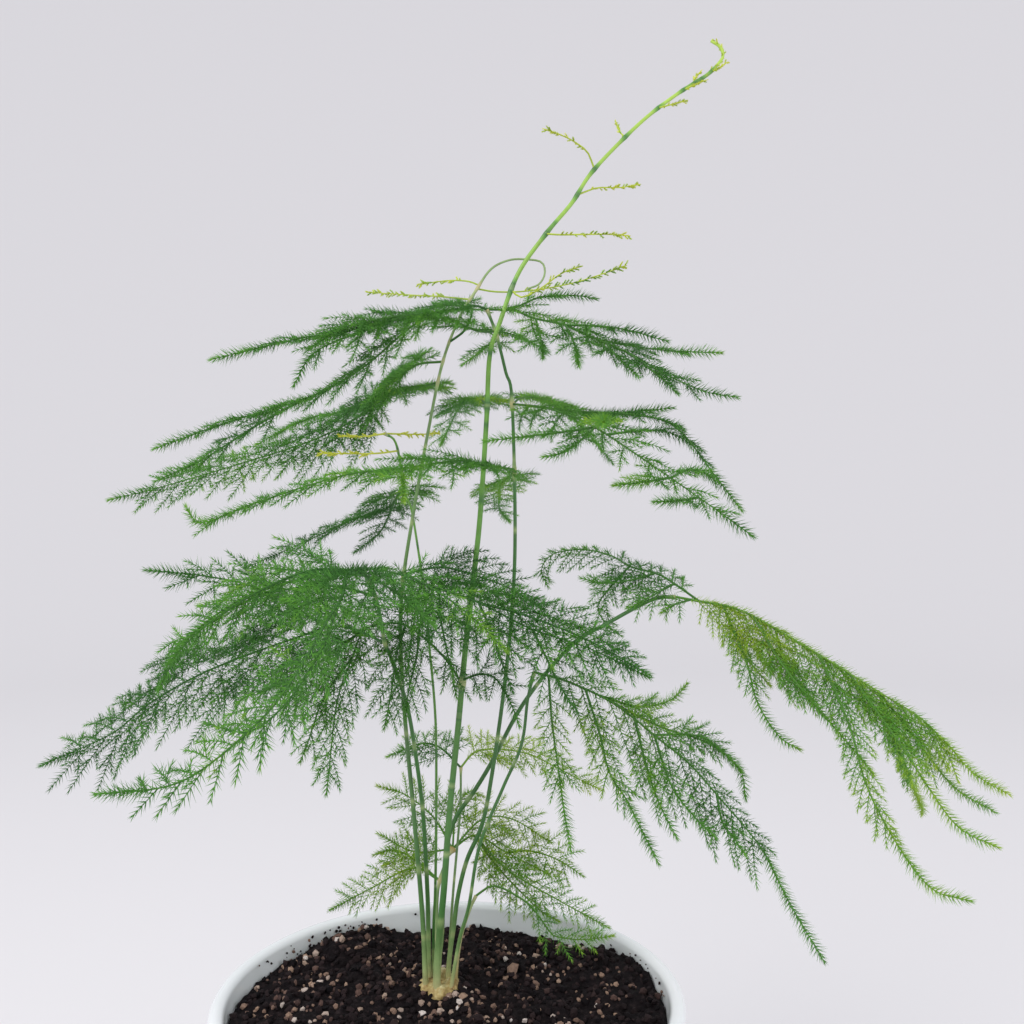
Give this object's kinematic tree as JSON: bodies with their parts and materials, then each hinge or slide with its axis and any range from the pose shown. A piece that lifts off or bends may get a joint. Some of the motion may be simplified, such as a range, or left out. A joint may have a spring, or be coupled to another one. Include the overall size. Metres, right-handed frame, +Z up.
{
  "type": "potted lace fern",
  "caption": "Potted lace fern: thin arching stems with flat layered fronds of fine needles, rising from a crown in a soil-filled round white pot.",
  "frame": {"origin": "middle of the pot's underside", "axes": "+Z up, along the pot's axis; the camera of the picture looks along +Y"},
  "size_m": [0.2981, 0.2325, 0.4481],
  "materials": {
    "pot_glaze": "smooth white glaze",
    "soil": "dark crumbly potting soil, mostly peat and bark",
    "crown": "knobbly tan rootstock",
    "foliage": "fresh green, matt",
    "young_foliage": "light green, slightly glossy"
  },
  "bodies": {
    "root": {"pot": "pot_glaze", "soil": "soil", "crown": "crown", "stem_left": "foliage", "stem_near": "foliage", "stem_thin": "foliage", "stem_new": "young_foliage", "stem_back": "foliage", "stem_arch": "foliage", "stem_centre": "foliage", "stem_right": "foliage", "stem_low": "foliage", "stem_behind": "foliage"}
  },
  "joints": []
}
